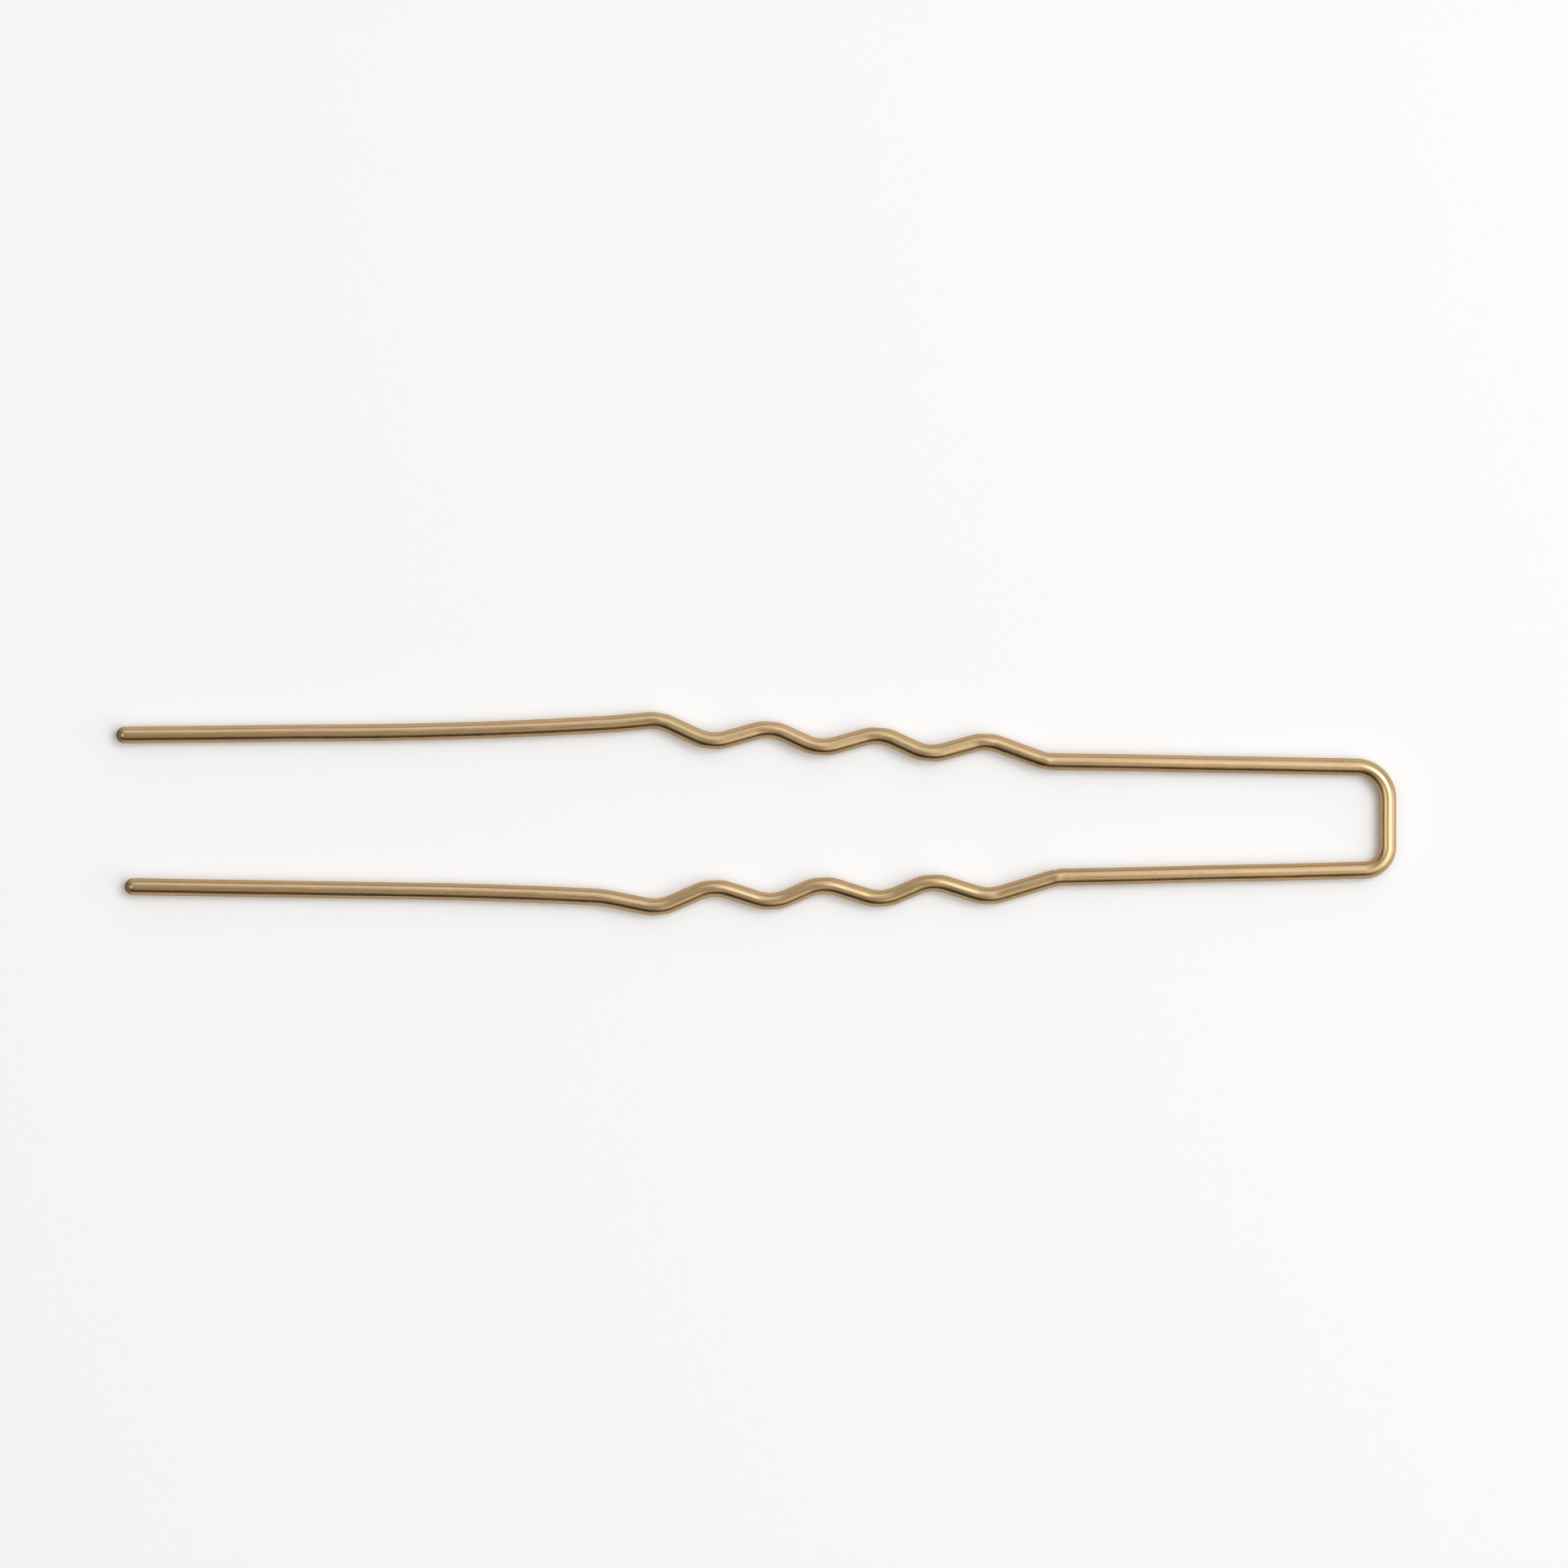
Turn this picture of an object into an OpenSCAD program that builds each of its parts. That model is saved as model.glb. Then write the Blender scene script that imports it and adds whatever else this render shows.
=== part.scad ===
// Crimped U-shaped hairpin: one length of round wire, folded in the middle
// into a bow, with four crests crimped into each leg and two plain rounded
// ends. It lies flat, bow towards +X, upper leg on the +Y side, and its
// lowest line is at Z = 0. Every bend keeps its radius and every straight its
// length, as on the wire bender that makes such a pin.
//
// Elastic flex of the two legs stands in two places, at the square cuts
// between the bow and the legs, where each leg meets the bow face to face.

/* [Wire] */
// Diameter of the round wire
wire_d = 1; // [0.7:0.05:1.4]

/* [Pin] */
// Length from the back of the bow to the end of the longer leg
pin_l = 76; // [70:0.5:90]
// How far the lower leg stops short of the upper leg
tip_step = 0.5; // [0:0.1:3]
// Width of the bow, between the centre lines of the two shanks
bow_w = 6.14; // [5:0.02:9]
// Reach of the stiff bow, from its centre line to where the legs flex
flex_reach = 10; // [6:0.5:14]

/* [Crimps of both legs] */
// Crests on each leg
crests = 4; // [2:1:5]
// Radius of the wire's centre line at a crimp
crimp_r = 2.6; // [1.4:0.1:3]
// Straight wire on the side of a crest that falls towards the other leg
fall_run = 1.75; // [0.75:0.05:2.25]
// Straight wire on the side of a crest that climbs away from the other leg
rise_run = 1.3; // [0.5:0.1:2]
// Straight wire that climbs to the last crest
last_run = 1.7; // [0.5:0.1:2.5]

/* [Ends of both legs] */
// Straight wire behind the last crest
lead_run = 2; // [0.5:0.1:4]
// Radius of the soft bend that ends it
lead_r = 8; // [3:0.5:15]
// Radius of the long sweep that brings the end of a leg nearly straight
sweep_r = 300; // [100:10:350]

/* [Upper leg] */
// Radius of the bow's upper corner, at the centre line
upper_corner_r = 1.9; // [1:0.05:2.2]
// Straight shank between the corner and the crimps
upper_shank = 18; // [15:0.1:20]
// Slope of the shank away from the other leg
upper_splay_angle = 1; // [0:0.1:3]
// Straight wire that climbs to the first crest
upper_first_run = 2.5; // [1:0.1:4]
// Slope of the climb to the first crest
upper_first_angle = 20; // [12:0.1:25]
// Slope of the later climbs
upper_rise_angle = 24.9; // [18:0.1:28]
// Slope of the falls between the crests
upper_fall_angle = 15.7; // [10:0.1:20]
// Slope of the fall behind the last crest
upper_lead_angle = 5.2; // [4.6:0.1:12]
// Slope towards the other leg where the long sweep starts
upper_sweep_angle = 3.4; // [2:0.1:4.5]
// Slope towards the other leg at the tip
upper_tip_angle = 0.6; // [0:0.1:1.5]

/* [Lower leg] */
// Radius of the bow's lower corner, at the centre line
lower_corner_r = 1.45; // [1:0.05:2.2]
// Straight shank between the corner and the crimps
lower_shank = 17.9; // [15:0.1:20]
// Slope of the shank away from the other leg
lower_splay_angle = 1.3; // [0:0.1:3]
// Straight wire that climbs to the first crest
lower_first_run = 3.1; // [1:0.1:4]
// Slope of the climb to the first crest
lower_first_angle = 16.7; // [12:0.1:25]
// Slope of the later climbs
lower_rise_angle = 23.3; // [18:0.1:28]
// Slope of the falls between the crests
lower_fall_angle = 17.6; // [10:0.1:20]
// Slope of the fall behind the last crest
lower_lead_angle = 11.2; // [4.6:0.1:12]
// Slope towards the other leg where the long sweep starts
lower_sweep_angle = 2.9; // [2:0.1:4.5]
// Slope towards the other leg at the tip
lower_tip_angle = 0.9; // [0:0.1:1.5]

/* [Hidden] */

wire_r = wire_d / 2;
wire_sides = 48;
// Steps in a full turn of a sharp bend, and of a wide one for each mm of radius
least_turn_steps = 96;
turn_steps_per_mm = 8;
// Length that a bend is made too long before it is cut square
spare_l = wire_r / 2;

// Bends are set to this step, within this reach of the angle that is asked for
angle_step = 0.0001;
angle_reach = 0.05;

// A leg is a list of stretches, from the middle of the bow to the tip. Each
// has its straight run, its slope away from the pin's long axis, which is
// negative where it falls towards the other leg, and the radius of the bend
// that leads into the next one.
function run_of(leg, i) = leg[i][0];
function slope_of(leg, i) = leg[i][1];
function radius_of(leg, i) = leg[i][2];

// Sines and cosines are kept to six digits. A bend therefore takes, of all the
// angles close to the one asked for, the one whose turn then stays the most
// true, so that the wire keeps its diameter and its pieces meet exactly.
function six_digits(x) =
    let (unit = x == 0 ? 1 : pow(10, floor(log(abs(x))) - 5))
    round(x / unit) * unit;
function turn_error(angle) = abs(norm([six_digits(cos(angle)), six_digits(sin(angle))]) - 1);
function true_angle(angle) =
    let (tries = [for (miss = [-angle_reach : angle_step : angle_reach]) angle + miss])
    let (errors = [for (try = tries) turn_error(try)])
    tries[search(min(errors), errors)[0]];

// The same leg with the slopes that its bends come to
function settled(leg) = [
    for (
        i = 0, slope = slope_of(leg, 0);
        i < len(leg);
        i = i + 1, slope = i < len(leg) && slope_of(leg, i) != slope_of(leg, i - 1)
            ? slope - true_angle(slope - slope_of(leg, i))
            : slope
    )
        [run_of(leg, i), slope, radius_of(leg, i)]
];

// How far a straight and a bend carry the wire, from a bow at +X
function straight_step(run, slope) = [-run * cos(slope), run * sin(slope)];
function bend_step(radius, slope, next_slope) =
    (next_slope < slope ? radius : -radius)
    * [sin(next_slope) - sin(slope), cos(next_slope) - cos(slope)];

// Where the straight of stretch i starts, and where it ends
function start_of(leg, i) = i == 0 ? [0, 0]
    : end_of(leg, i - 1)
      + bend_step(radius_of(leg, i - 1), slope_of(leg, i - 1), slope_of(leg, i));
function end_of(leg, i) = start_of(leg, i) + straight_step(run_of(leg, i), slope_of(leg, i));

// Straight from the bow's corner to the cut
function run_to_flex(corner_r, splay) =
    (flex_reach - corner_r * (1 - sin(splay))) / cos(splay);

function bow_part(corner_r, splay_angle) = [
    [bow_w / 2 - corner_r, 90, corner_r],
    [run_to_flex(corner_r, splay_angle), splay_angle, 0]
];

function crimped_part(corner_r, shank, splay, first_run, first_rise, rise, fall) = [
    [shank - run_to_flex(corner_r, splay), splay, crimp_r],
    [first_run, first_rise, crimp_r],
    for (crest = [2 : crests])
        each [
            [fall_run, -fall, crimp_r],
            [crest == crests ? last_run : rise_run, rise, crimp_r]
        ]
];

function swept_part(lead_fall, sweep_fall, tip_fall) = [
    [lead_run, -lead_fall, lead_r],
    [0, -sweep_fall, sweep_r],
    [0, -tip_fall, 0]
];

// The last straight takes what is left of the leg's length
function with_tip_run(leg, leg_l) =
    let (last = len(leg) - 1)
    let (tip_run = (leg_l - wire_d + start_of(leg, last).x) / cos(slope_of(leg, last)))
    [for (i = [0 : last]) i < last ? leg[i] : [tip_run, slope_of(leg, last), 0]];

upper = with_tip_run(settled(concat(
    bow_part(upper_corner_r, upper_splay_angle),
    crimped_part(upper_corner_r, upper_shank, upper_splay_angle, upper_first_run, upper_first_angle,
        upper_rise_angle, upper_fall_angle),
    swept_part(upper_lead_angle, upper_sweep_angle, upper_tip_angle)
)), pin_l);

lower = with_tip_run(settled(concat(
    bow_part(lower_corner_r, lower_splay_angle),
    crimped_part(lower_corner_r, lower_shank, lower_splay_angle, lower_first_run, lower_first_angle,
        lower_rise_angle, lower_fall_angle),
    swept_part(lower_lead_angle, lower_sweep_angle, lower_tip_angle)
)), pin_l - tip_step);

// Stretches that belong to the bow; the leg has the others
bow_stretches = 2;

// Height of a leg's furthest crest above the middle of the bow
function crest_of(leg) = max([
    for (i = [1 : len(leg) - 2])
        if (slope_of(leg, i) > 0 && slope_of(leg, i + 1) <= 0)
            end_of(leg, i).y + radius_of(leg, i) * (1 - cos(slope_of(leg, i)))
]);

// The origin is under the middle of the pin's outer box
pin_centre = [wire_r - pin_l / 2, (crest_of(upper) - crest_of(lower)) / 2];

module straight(run) {
    rotate([0, 90, 0])
        cylinder(d = wire_d, h = run, $fn = wire_sides);
}

// Carries its children past a bend to the left about a centre at +Y, or to
// the right for a negative angle
module past_bend(radius, angle) {
    side = sign(angle);
    translate([0, side * radius, 0])
        rotate([0, 0, angle])
            translate([0, -side * radius, 0])
                children();
}

// The bend itself, made a little too long and then cut square, so that its end
// lies in the very plane in which the next straight starts
module bend(radius, angle) {
    side = sign(angle);
    spare_angle = spare_l / radius * 180 / PI;
    difference() {
        translate([0, side * radius, 0])
            rotate([0, 0, -90 * side])
                rotate_extrude(
                    angle = angle + side * spare_angle,
                    $fn = max(least_turn_steps, turn_steps_per_mm * radius)
                )
                    translate([radius, 0])
                        circle(d = wire_d, $fn = wire_sides);
        past_bend(radius, angle)
            translate([0, -wire_d, -wire_d])
                cube([3 * spare_l, 2 * wire_d, 2 * wire_d]);
    }
}

// Plain end of the wire, rounded to a full half ball
module rounded_end() {
    rotate([0, 90, 0])
        rotate_extrude($fn = wire_sides)
            intersection() {
                circle(d = wire_d, $fn = wire_sides);
                square(wire_d);
            }
}

// Feeds the wire stretch by stretch along +X, and draws those from first to last
module fed_wire(leg, first, last, i = 0) {
    if (i >= first)
        straight(run_of(leg, i));
    translate([run_of(leg, i), 0, 0])
        if (i == len(leg) - 1) {
            rounded_end();
        } else {
            angle = slope_of(leg, i) - slope_of(leg, i + 1);
            if (i >= first && angle != 0)
                bend(radius_of(leg, i), angle);
            if (i < last)
                past_bend(radius_of(leg, i), angle)
                    fed_wire(leg, first, last, i + 1);
        }
}

// Sets a leg's wire off from the middle of the bow towards +Y
module in_pin_frame() {
    translate([-pin_centre.x, -pin_centre.y, wire_r])
        rotate([0, 0, 90])
            children();
}

module on_lower_side() {
    mirror([1, 0, 0])
        children();
}

module bow() {
    color("#cdb38c")
        in_pin_frame() {
            fed_wire(upper, 0, bow_stretches - 1);
            on_lower_side()
                fed_wire(lower, 0, bow_stretches - 1);
        }
}

module upper_leg() {
    color("#c2a273")
        in_pin_frame()
            fed_wire(upper, bow_stretches, len(upper) - 1);
}

module lower_leg() {
    color("#c2a273")
        in_pin_frame()
            on_lower_side()
                fed_wire(lower, bow_stretches, len(lower) - 1);
}

bow();
upper_leg();
lower_leg();
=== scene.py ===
"""Crimped U-shaped hairpin of round, satin gold wire, lying flat and seen from straight above.

The wire is two long swept meshes that meet in the middle of the bow. Each
follows the route of one leg in the CAD source, stretch by stretch. The wire is
built in mm, and everything else is in metres.
"""
import math

import bpy
import numpy as np
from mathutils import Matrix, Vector


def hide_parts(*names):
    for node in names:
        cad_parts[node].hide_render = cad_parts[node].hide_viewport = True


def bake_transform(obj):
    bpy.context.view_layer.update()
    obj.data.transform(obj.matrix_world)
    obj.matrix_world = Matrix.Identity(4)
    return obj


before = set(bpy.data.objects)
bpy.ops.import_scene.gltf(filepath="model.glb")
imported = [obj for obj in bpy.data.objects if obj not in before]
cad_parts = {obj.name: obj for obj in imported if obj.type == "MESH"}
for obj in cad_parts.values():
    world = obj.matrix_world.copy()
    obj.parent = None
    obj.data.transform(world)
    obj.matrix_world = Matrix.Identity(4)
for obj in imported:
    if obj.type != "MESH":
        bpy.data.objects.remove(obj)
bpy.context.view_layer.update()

MM = 0.001
WIRE_R = 0.5
# Middle of the bow's back on the wire's centre line, in mm
BOW_BACK_X = 37.5
BOW_MIDDLE_Y = -0.295216

# Stretches of each leg from the middle of the bow: straight run in mm, slope
# away from the pin's long axis in degrees, radius in mm of the bend after it.
UPPER_PLAN = [
    (1.17, 90, 1.9), (8.1344, 1.0153, 0), (9.8656, 1.0153, 2.6), (2.5, 20.0242, 2.6),
    (1.75, -15.6821, 2.6), (1.3, 24.9372, 2.6), (1.75, -15.6821, 2.6), (1.3, 24.9372, 2.6),
    (1.75, -15.6821, 2.6), (1.7, 24.9372, 2.6), (2, -5.244, 8), (0, -3.3575, 300),
    (14.3232, -0.588, 0),
]
LOWER_PLAN = [
    (1.62, 90, 1.45), (8.58511, 1.2812, 0), (9.31489, 1.2812, 2.6), (3.1, 16.6569, 2.6),
    (1.75, -17.5734, 2.6), (1.3, 23.2993, 2.6), (1.75, -17.5734, 2.6), (1.3, 23.2993, 2.6),
    (1.75, -17.5734, 2.6), (1.7, 23.2993, 2.6), (2, -11.2262, 8), (0, -2.9112, 300),
    (16.8516, -0.9082, 0),
]
# Y of the places where the legs flex, in mm
UPPER_FLEX_Y = 2.918624
LOWER_FLEX_Y = -3.556806

# Points round the wire, and lengths in mm between rings of them
AROUND = 40
STRAIGHT_STEP = 0.2
BEND_STEP = 0.1
# A bend from this radius on is as good as straight
WIDE_R = 10
# The crimps are the bends between these radii
CRIMP_R = (2, 5)
DOME_RINGS = 10
# The very end of the wire is ground flat past this share of the dome
DOME_REACH = 0.985

# Twist in degrees of each leg's crimps about the leg, outer side down
UPPER_TWIST = 8
LOWER_TWIST = 4
# The twist grows and goes again between these lengths in mm from the middle of the bow
TWIST_GROWS = (3, 20)
TWIST_GOES = (46, 62)

# Marks of the crimping dies, as shares of the wire's radius
HOLLOW_FLAT = 0.055
RIDGE_FLAT = 0.02
SIDE_BULGE = 0.012

# Faults of real wire: reach in mm along the wire of each slow wave, and its size. For the
# thickness the size is a share of the radius, and for the line of the wire it is in mm.
THICKNESS_WAVES = ((3.1, 0.0024), (1.1, 0.0018))
LINE_WAVE = (4.3, 0.0048)
# The line is true in the middle of the bow and has its full wave from this length on
LINE_WAVE_GROWS = 4

# The wire's surface is unrolled and cut into rows on its map; pitch and margin in mm
MAP_ROWS = 5
MAP_PITCH = 3.45
MAP_MARGIN = 0.12
# The round face in the middle of the bow lies on the map past the end of the first row:
# its place there, and the room that is kept for it
FACE_SPOT = (0.9, 0.8)
FACE_ROOM = 1.6


def heading(slope):
    """Way that the wire runs at this slope."""
    return np.array([-math.cos(slope), math.sin(slope)])


def outward(slope):
    """Way across the wire, away from the other leg."""
    return np.array([math.sin(slope), math.cos(slope)])


def route(plan):
    """Points, slopes and bend strengths along one leg, in mm from the middle of the bow."""
    spot = np.zeros(2)
    points, slopes, bends = [], [], []
    for i, (run, degrees, radius) in enumerate(plan):
        slope = math.radians(degrees)
        steps = max(1, round(run / STRAIGHT_STEP)) if run else 0
        for k in range(steps):
            points.append(spot + heading(slope) * run * k / steps)
            slopes.append(slope)
            bends.append(0.0)
        spot = spot + heading(slope) * run
        if i + 1 == len(plan):
            break
        turn = math.radians(plan[i + 1][1]) - slope
        if not turn:
            continue
        step = BEND_STEP if radius < WIDE_R else STRAIGHT_STEP
        steps = max(2, round(radius * abs(turn) / step))
        reach = math.copysign(radius, turn)
        for k in range(steps):
            share = k / steps
            at = slope + turn * share
            points.append(spot + reach * (outward(slope) - outward(at)))
            slopes.append(at)
            # 1 in the middle of a crimp, signed by its side
            strength = math.sin(math.pi * share) ** 2 * math.copysign(1, turn)
            bends.append(strength if CRIMP_R[0] < radius < CRIMP_R[1] else 0.0)
        spot = spot + reach * (outward(slope) - outward(slope + turn))
    points.append(spot)
    slopes.append(math.radians(plan[-1][1]))
    bends.append(0.0)
    return np.array(points), np.array(slopes), np.array(bends)


def wander(at, reach, seed):
    """Smooth random curve of about unit size over the length at, changing over reach mm."""
    made = np.random.default_rng(seed)
    knots = np.arange(at.min() - 2 * reach, at.max() + 3 * reach, reach)
    heights = made.normal(0, 1, len(knots))
    place = (at - knots[0]) / reach
    i = place.astype(int)
    f = place - i
    f = f * f * (3 - 2 * f)
    return heights[i] * (1 - f) + heights[i + 1] * f


def eased(value, low, high):
    """0 up to low, 1 from high on, and smooth between them."""
    share = np.clip((value - low) / (high - low), 0, 1)
    return share * share * (3 - 2 * share)


def lift_of(points, slopes, along, twist):
    """Height of the wire's underside over the floor, in mm.

    The crimps of each leg are twisted a few degrees about the leg, outer side
    down, so the crests lie on the floor and the hollows between them don't.
    """
    tops = [i for i in range(1, len(slopes)) if slopes[i - 1] > 0 >= slopes[i]]
    crest_line = np.polyval(np.polyfit(points[tops, 0], points[tops, 1], 1), points[:, 0])
    hold = eased(along, *TWIST_GROWS) * (1 - eased(along, *TWIST_GOES))
    return math.tan(math.radians(twist)) * np.maximum(crest_line - points[:, 1], 0) * hold


def circle():
    """Points of the unit circle round the wire: u away from the other leg, w upwards."""
    turns = np.linspace(0, 2 * math.pi, AROUND, endpoint=False) - math.pi / 2
    return np.cos(turns), np.sin(turns)


def swept_rings(plan, seed, twist):
    """One half of the wire as rings of points, from the middle of the bow to its rounded tip.

    Gives the points, the place of each along and across the straight wire,
    and the length over the surface up to each ring. The last two points are
    the middles of the two ends.
    """
    points, slopes, bends = route(plan)
    along = np.concatenate([[0], np.cumsum(np.linalg.norm(np.diff(points, axis=0), axis=1))])
    length = along[-1]
    lift = lift_of(points, slopes, along, twist)
    u, w = circle()
    thickness = sum(
        size * wander(along, reach, seed + i) for i, (reach, size) in enumerate(THICKNESS_WAVES)
    )
    drift = LINE_WAVE[1] * wander(along, LINE_WAVE[0], seed + len(THICKNESS_WAVES))
    drift = drift * np.minimum(1, along / LINE_WAVE_GROWS)

    rings, places = [], []
    for i, (spot, slope, bend) in enumerate(zip(points, slopes, bends)):
        # The dies leave a shallow flat in the hollow of each bend and a fainter one
        # opposite, and make the wire a little thicker from top to bottom
        hollow = np.clip(-u * bend, 0, 1)
        ridge = np.clip(u * bend, 0, 1)
        radius = WIRE_R * (1 + thickness[i])
        ru = radius * (1 - HOLLOW_FLAT * hollow ** 3 - RIDGE_FLAT * ridge ** 3)
        rw = radius * (1 + SIDE_BULGE * abs(bend))
        across = spot + outward(slope) * (ru * u + drift[i])[:, None]
        rings.append(np.column_stack([across, lift[i] + rw * (1 + w)]))
        places.append(np.column_stack([np.full(AROUND, along[i]), ru * u, rw * w]))

    tip, slope = points[-1], slopes[-1]
    for k in range(1, DOME_RINGS):
        angle = math.pi / 2 * k / DOME_RINGS
        reach = WIRE_R * min(math.sin(angle), DOME_REACH)
        radius = WIRE_R * math.cos(angle)
        across = tip + heading(slope) * reach + outward(slope) * (radius * u)[:, None]
        rings.append(np.column_stack([across, WIRE_R + radius * w]))
        places.append(np.column_stack([np.full(AROUND, length + reach), radius * u, radius * w]))

    start = np.append(points[0], WIRE_R)
    end = np.append(tip + heading(slope) * WIRE_R * DOME_REACH, WIRE_R)
    dome = length + WIRE_R * math.pi / 2 * np.arange(1, DOME_RINGS + 1) / DOME_RINGS
    return (
        np.vstack([*rings, start, end]),
        np.vstack([*places, (0, 0, 0), (length + WIRE_R, 0, 0)]),
        np.concatenate([along, dome]),
    )


def faces_on_map(surface, side):
    """Faces between the rings and over both ends, and each face's corners on the map in mm."""
    u, w = circle()
    count = len(surface) - 1
    row_reach = (surface[-1] + 0.001) / MAP_ROWS
    around_step = 2 * math.pi * WIRE_R / AROUND

    def on_map(ring, column, row):
        column = column if side > 0 else AROUND - column
        return surface[ring] - row * row_reach, row * MAP_PITCH + column * around_step

    faces, spots = [], []
    for i in range(count - 1):
        row = int((surface[i] + surface[i + 1]) / 2 / row_reach)
        for j in range(AROUND):
            k = (j + 1) % AROUND
            near, far = i * AROUND, (i + 1) * AROUND
            faces.append((near + j, near + k, far + k, far + j))
            spots.append([
                on_map(i, j, row), on_map(i, j + 1, row),
                on_map(i + 1, j + 1, row), on_map(i + 1, j, row),
            ])
    start, end = count * AROUND, count * AROUND + 1
    last, row = count - 1, MAP_ROWS - 1
    middle = (row_reach + FACE_SPOT[0], FACE_SPOT[1])
    for j in range(AROUND):
        k = (j + 1) % AROUND
        faces.append((start, k, j))
        rim = [(middle[0] + side * WIRE_R * u[m], middle[1] + WIRE_R * w[m]) for m in (k, j)]
        spots.append([middle, *rim])
        faces.append((end, last * AROUND + j, last * AROUND + k))
        spots.append([on_map(count, j + 0.5, row), on_map(last, j, row), on_map(last, j + 1, row)])
    if side > 0:
        faces = [f[::-1] for f in faces]
        spots = [f[::-1] for f in spots]
    flat = np.array([spot for face in spots for spot in face]) + MAP_MARGIN
    return faces, flat / max(row_reach + FACE_ROOM, MAP_ROWS * MAP_PITCH)


def wire_half(name, plan, side, seed, twist):
    """One half of the wire as a closed mesh; side is 1 for the upper leg and -1 for the lower."""
    points, places, surface = swept_rings(plan, seed, twist)
    faces, flat = faces_on_map(surface, side)
    points[:, 0] += BOW_BACK_X
    points[:, 1] = side * points[:, 1] + BOW_MIDDLE_Y

    mesh = bpy.data.meshes.new(name)
    mesh.from_pydata([tuple(p) for p in points * MM], [], faces)
    mesh.update()
    mesh.shade_smooth()
    # Sharp round the flat face in the middle of the bow
    for edge in mesh.edges:
        edge.use_edge_sharp = max(edge.vertices) < AROUND
    place = mesh.attributes.new("wire_place", "FLOAT_VECTOR", "POINT")
    place.data.foreach_set("vector", places.astype(np.float32).ravel())
    from_tip = mesh.attributes.new("from_tip", "FLOAT", "POINT")
    from_tip.data.foreach_set("value", (places[-1, 0] - places[:, 0]).astype(np.float32))
    unrolled = mesh.uv_layers.new(name="OFBake")
    unrolled.uv.foreach_set("vector", flat.astype(np.float32).ravel())
    piece = bpy.data.objects.new(name, mesh)
    bpy.context.scene.collection.objects.link(piece)
    return piece


def srgb(r, g, b):
    """Scene colour for an sRGB colour given as 0 to 255."""
    out = []
    for c in (r, g, b):
        c = c / 255
        out.append(c / 12.92 if c <= 0.04045 else ((c + 0.055) / 1.055) ** 2.4)
    return (*out, 1.0)


def node(tree, kind, at=(0, 0)):
    made = tree.nodes.new(kind)
    made.location = at
    return made


def feed(tree, socket, value):
    """Link value to the socket, or set it there where it is a plain number or colour."""
    if hasattr(value, "is_output"):
        tree.links.new(value, socket)
    else:
        socket.default_value = value


def maths(tree, kind, first, second=None):
    made = tree.nodes.new("ShaderNodeMath")
    made.operation = kind
    feed(tree, made.inputs[0], first)
    if second is not None:
        feed(tree, made.inputs[1], second)
    return made.outputs[0]


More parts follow.
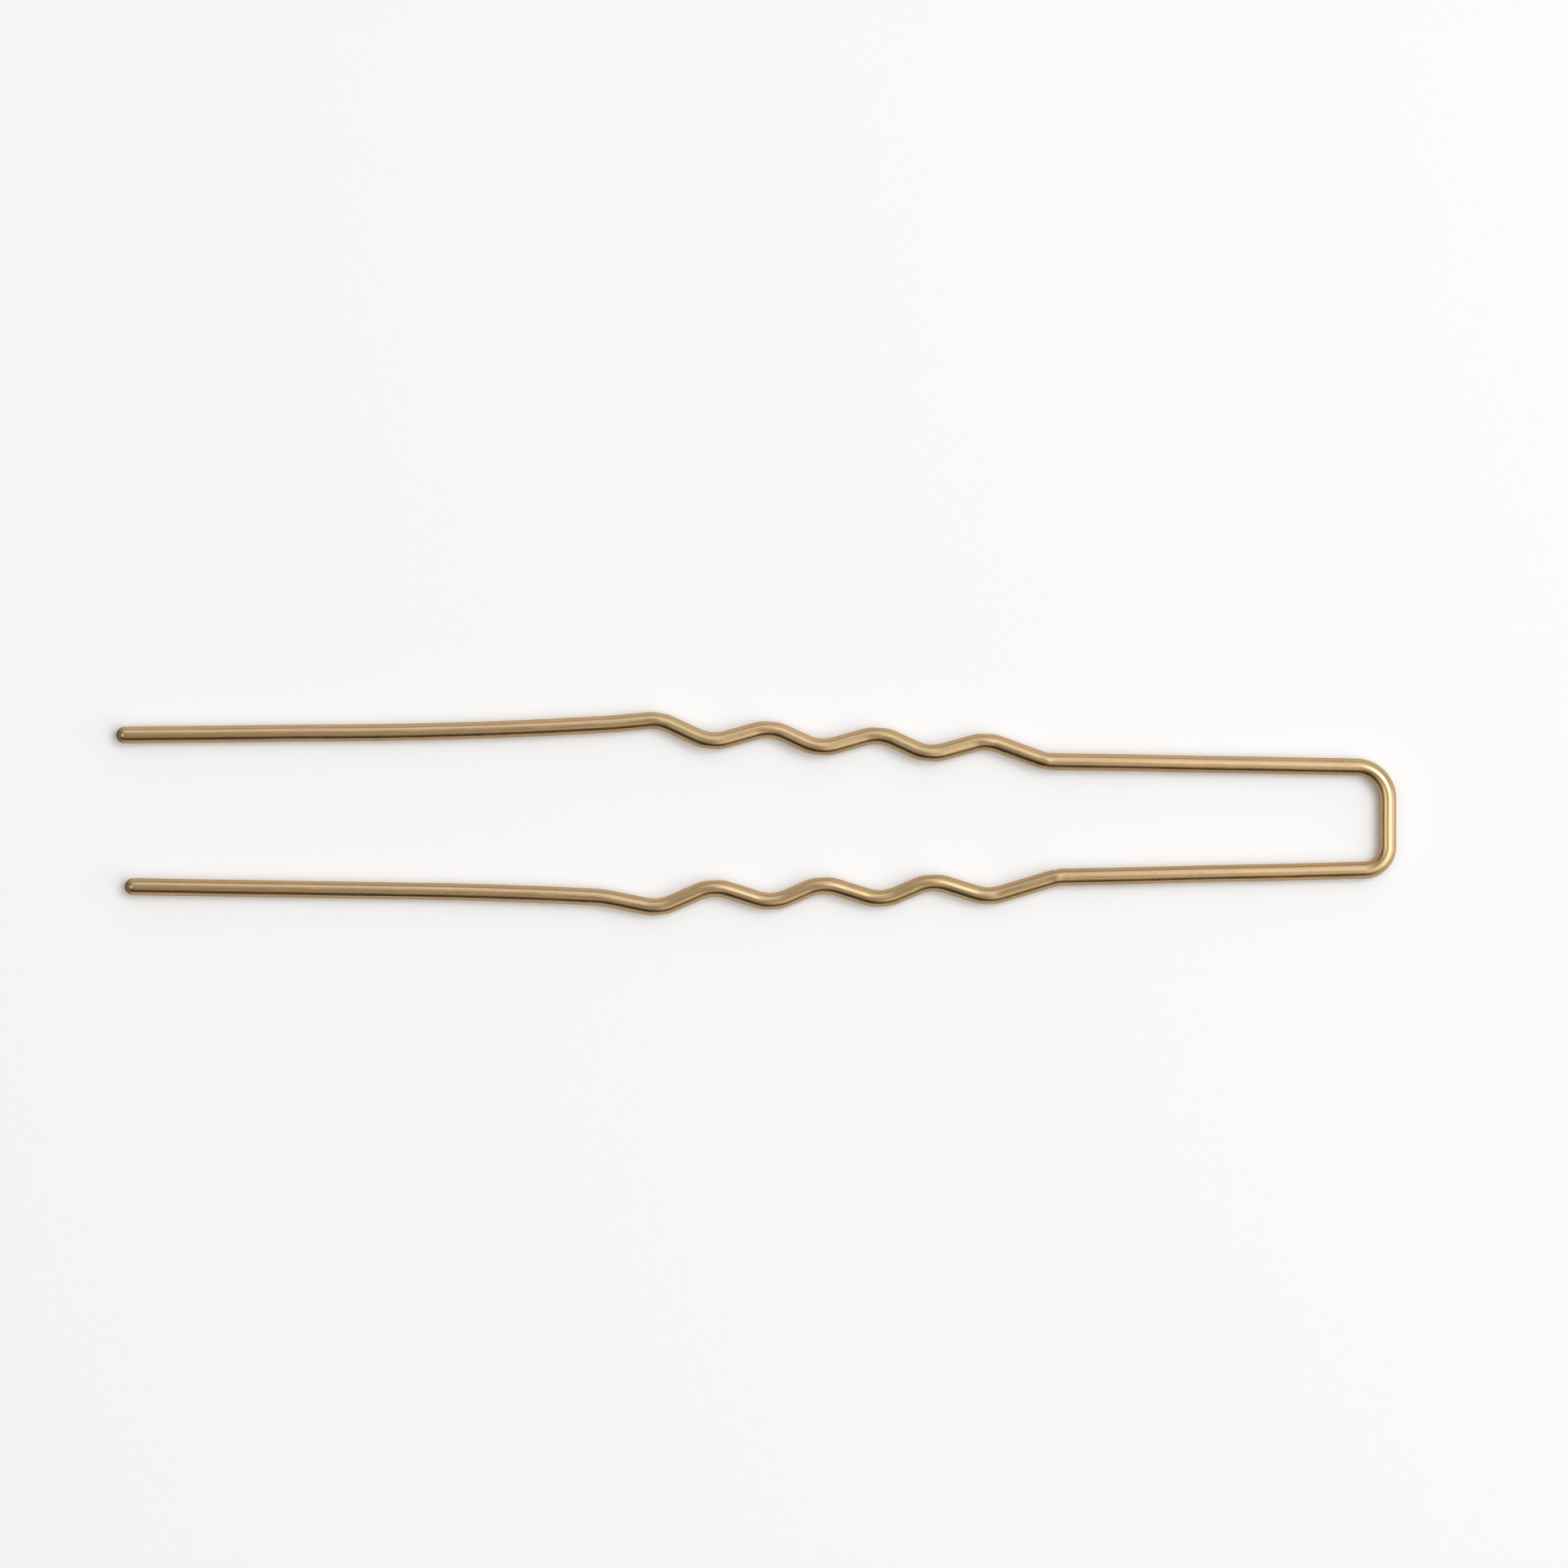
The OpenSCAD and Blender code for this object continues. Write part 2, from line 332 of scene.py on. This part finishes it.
def gold_wire():
    """Satin gold-toned plating over drawn wire."""
    mat = bpy.data.materials.new("satin_gold_plating")
    mat.use_nodes = True
    tree = mat.node_tree
    tree.nodes.clear()
    link = tree.links.new
    out = node(tree, "ShaderNodeOutputMaterial", (900, 0))
    metal = node(tree, "ShaderNodeBsdfPrincipled", (600, 0))
    metal.inputs["Metallic"].default_value = 1.0
    metal.inputs["Specular Tint"].default_value = (0.34, 0.27, 0.18, 1.0)
    link(metal.outputs["BSDF"], out.inputs["Surface"])

    def of_mesh(name, at):
        made = node(tree, "ShaderNodeAttribute", at)
        made.attribute_name = name
        return made

    place = of_mesh("wire_place", (-1400, 0)).outputs["Vector"]

    def noise(per_mm, detail, rough, y):
        """Noise with this many cells per mm along the wire and across it."""
        scaled = node(tree, "ShaderNodeVectorMath", (-1200, y))
        scaled.operation = "MULTIPLY"
        link(place, scaled.inputs[0])
        scaled.inputs[1].default_value = per_mm
        made = node(tree, "ShaderNodeTexNoise", (-1000, y))
        made.inputs["Scale"].default_value = 1.0
        made.inputs["Detail"].default_value = detail
        made.inputs["Roughness"].default_value = rough
        link(scaled.outputs["Vector"], made.inputs["Vector"])
        return made.outputs["Fac"]

    def spread(value, low, high, to_low, to_high, at):
        made = node(tree, "ShaderNodeMapRange", at)
        made.inputs["From Min"].default_value = low
        made.inputs["From Max"].default_value = high
        made.inputs["To Min"].default_value = to_low
        made.inputs["To Max"].default_value = to_high
        link(value, made.inputs["Value"])
        return made.outputs["Result"]

    def blended(share, first, second, at):
        made = node(tree, "ShaderNodeMix", at)
        made.data_type = "RGBA"
        for key, value in ((0, share), (6, first), (7, second)):
            feed(tree, made.inputs[key], value)
        return made.outputs[2]

    # Lines that the drawing die left along the wire, a finer grain, clouds in the plating
    lines = noise((0.12, 9, 9), 4, 0.6, 300)
    fine = noise((0.5, 26, 26), 3, 0.6, 100)
    clouds = noise((0.22, 0.9, 0.9), 3, 0.55, -100)
    specks = noise((5, 5, 5), 4, 0.7, -300)

    tone = blended(spread(clouds, 0.35, 0.65, 0, 1, (-750, -100)),
                   srgb(207, 180, 135), srgb(216, 183, 142), (-500, -100))
    tone = blended(spread(lines, 0.35, 0.75, 0, 0.15, (-750, 100)),
                   tone, srgb(192, 158, 112), (-300, 0))
    tone = blended(spread(specks, 0.62, 0.75, 0, 0.4, (-750, -300)),
                   tone, srgb(170, 134, 90), (-100, -100))
    # Painted shade: the base colour darkens up to 0.5 mm from each ground tip, where the rounded
    # end faces away from the light; the same mask makes the tips rougher
    tip_painted_shade_and_dullness = spread(of_mesh("from_tip", (-1400, -500)).outputs["Fac"], 0.1, 0.5, 1, 0, (-750, -500))
    tone = blended(maths(tree, "MULTIPLY", tip_painted_shade_and_dullness, 0.8), tone, srgb(122, 104, 82), (100, -100))
    link(tone, metal.inputs["Base Color"])

    rough = spread(fine, 0.3, 0.7, 0.21, 0.32, (-500, -350))
    rough = maths(tree, "ADD", rough, maths(tree, "MULTIPLY", tip_painted_shade_and_dullness, 0.2))
    # The gloss is softer towards the rim
    rim = node(tree, "ShaderNodeLayerWeight", (-900, -650))
    rim.inputs["Blend"].default_value = 0.5
    duller = spread(rim.outputs["Facing"], 0.25, 0.45, 0, 0.4, (-500, -650))
    link(maths(tree, "ADD", rough, duller), metal.inputs["Roughness"])

    # Depths of the lines and of the grain in metres
    normal = None
    for height, depth, at in ((lines, 0.0000032, (300, -300)), (fine, 0.000003, (450, -300))):
        bump = node(tree, "ShaderNodeBump", at)
        bump.inputs["Distance"].default_value = depth
        link(height, bump.inputs["Height"])
        if normal is not None:
            link(normal, bump.inputs["Normal"])
        normal = bump.outputs["Normal"]
    link(normal, metal.inputs["Normal"])
    return mat


def area_light(name, spot, size, power, colour):
    """A square soft box at spot, aimed at the middle of the pin."""
    lamp = bpy.data.lights.new(name, "AREA")
    lamp.shape = "SQUARE"
    lamp.size = size
    lamp.energy = power
    lamp.color = colour
    placed = bpy.data.objects.new(name, lamp)
    placed.location = spot
    placed.rotation_mode = "QUATERNION"
    placed.rotation_quaternion = (-Vector(spot)).to_track_quat("-Z", "Y")
    placed.visible_camera = False
    bpy.context.scene.collection.objects.link(placed)


# Soft lights of the studio: azimuth and elevation in degrees, width in degrees at which the
# light has fallen to 0.37, level in the middle, and colour
SOFT_LIGHTS = [
    (34, 57, 15, 3.85, (0.97, 1.0, 1.06)),
    (330, 43, 20, 2.2, (1.0, 1.0, 0.98)),
    (183, 58, 19, 1.9, (1.0, 0.99, 0.95)),
    (90, 43, 20, 1.25, (1.0, 1.0, 1.02)),
    (290, 58, 13, 0.95, (1.2, 0.96, 0.7)),
    (0, 14, 20, 1.6, (0.94, 1.0, 1.15)),
    (60, 14, 20, 0.9, (1.0, 1.0, 1.0)),
    (120, 14, 20, 0.45, (1.0, 1.0, 1.0)),
]
# The pale backdrop stands behind the floor's far edge up to the first of these elevations
# in degrees and has faded out at the second; PALE is its brightness
PALE_UP_TO, PALE_ENDS = 5, 7
PALE = 0.752


def towards(azimuth, elevation):
    a, e = math.radians(azimuth), math.radians(elevation)
    return (math.cos(a) * math.cos(e), math.sin(a) * math.cos(e), math.sin(e))


def lobe(tree, direction, centre, width):
    """1 towards centre, and less with the angle from it; width is where it has fallen to 0.37."""
    dot = tree.nodes.new("ShaderNodeVectorMath")
    dot.operation = "DOT_PRODUCT"
    dot.inputs[1].default_value = centre
    tree.links.new(direction, dot.inputs[0])
    away = maths(tree, "SUBTRACT", dot.outputs["Value"], 1.0)
    return maths(tree, "EXPONENT", maths(tree, "DIVIDE", away, 1 - math.cos(math.radians(width))))


def light_from_around():
    """The world: soft lights in a dark room, with a pale backdrop along the horizon."""
    world = bpy.data.worlds.new("studio")
    bpy.context.scene.world = world
    world.use_nodes = True
    tree = world.node_tree
    tree.nodes.clear()
    direction = tree.nodes.new("ShaderNodeTexCoord").outputs["Generated"]
    total = None
    for azimuth, elevation, width, level, colour in SOFT_LIGHTS:
        soft = tree.nodes.new("ShaderNodeBackground")
        soft.inputs["Color"].default_value = (*colour, 1.0)
        share = lobe(tree, direction, towards(azimuth, elevation), width)
        tree.links.new(maths(tree, "MULTIPLY", share, level), soft.inputs["Strength"])
        if total is None:
            total = soft
            continue
        both = tree.nodes.new("ShaderNodeAddShader")
        tree.links.new(total.outputs[0], both.inputs[0])
        tree.links.new(soft.outputs[0], both.inputs[1])
        total = both
    pale = tree.nodes.new("ShaderNodeBackground")
    pale.inputs["Color"].default_value = (1.0, 1.0, 1.0, 1.0)
    pale.inputs["Strength"].default_value = PALE
    height = tree.nodes.new("ShaderNodeSeparateXYZ")
    tree.links.new(direction, height.inputs[0])
    fade = tree.nodes.new("ShaderNodeMapRange")
    fade.interpolation_type = "SMOOTHSTEP"
    fade.inputs["From Min"].default_value = math.sin(math.radians(PALE_UP_TO))
    fade.inputs["From Max"].default_value = math.sin(math.radians(PALE_ENDS))
    tree.links.new(height.outputs["Z"], fade.inputs["Value"])
    mix = tree.nodes.new("ShaderNodeMixShader")
    tree.links.new(fade.outputs["Result"], mix.inputs[0])
    tree.links.new(pale.outputs[0], mix.inputs[1])
    tree.links.new(total.outputs[0], mix.inputs[2])
    out = tree.nodes.new("ShaderNodeOutputWorld")
    tree.links.new(mix.outputs[0], out.inputs["Surface"])


def floor():
    """A sheet of pale paper, 6 metres square."""
    reach = 3.0
    corners = [(-reach, -reach, 0), (reach, -reach, 0), (reach, reach, 0), (-reach, reach, 0)]
    mesh = bpy.data.meshes.new("floor")
    mesh.from_pydata(corners, [], [(0, 1, 2, 3)])
    made = bpy.data.objects.new("floor", mesh)
    bpy.context.scene.collection.objects.link(made)
    paper = bpy.data.materials.new("pale_floor")
    paper.use_nodes = True
    sheet = paper.node_tree.nodes["Principled BSDF"]
    sheet.inputs["Base Color"].default_value = srgb(252, 252, 252)
    sheet.inputs["Roughness"].default_value = 0.9
    sheet.inputs["Specular IOR Level"].default_value = 0.0
    mesh.materials.append(paper)


def camera():
    """Straight down on the pin, as in the photograph."""
    # Width that the view takes in at the height of the wire's centre line, and its middle
    view_width = 0.0931
    middle_x, middle_y = 0.001645, 0.001763
    lens = bpy.data.cameras.new("camera")
    lens.lens = 200
    lens.sensor_width = 36
    lens.clip_start, lens.clip_end = 0.01, 50
    shot = bpy.data.objects.new("camera", lens)
    distance = view_width * lens.lens / lens.sensor_width
    shot.location = (middle_x, middle_y, distance + WIRE_R * MM)
    bpy.context.scene.collection.objects.link(shot)
    bpy.context.scene.camera = shot


gold = gold_wire()
upper = wire_half("upper_half_of_wire", UPPER_PLAN, side=1, seed=11, twist=UPPER_TWIST)
lower = wire_half("lower_half_of_wire", LOWER_PLAN, side=-1, seed=21, twist=LOWER_TWIST)
for piece, leg, flex_y in ((upper, "upper_leg", UPPER_FLEX_Y), (lower, "lower_leg", LOWER_FLEX_Y)):
    piece.data.materials.append(gold)
    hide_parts(leg, "bow")
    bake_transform(piece)

floor()
light_from_around()
# Two near soft boxes, brighter on the bow than on the tips
area_light("near_box", (0.2, 0.14, 0.3), size=0.12, power=0.1, colour=(1.0, 1.0, 1.0))
area_light("wide_box", (0.17, 0.03, 0.31), size=0.27, power=0.23, colour=(0.97, 1.0, 1.05))
camera()
bpy.context.scene.view_settings.view_transform = "Standard"
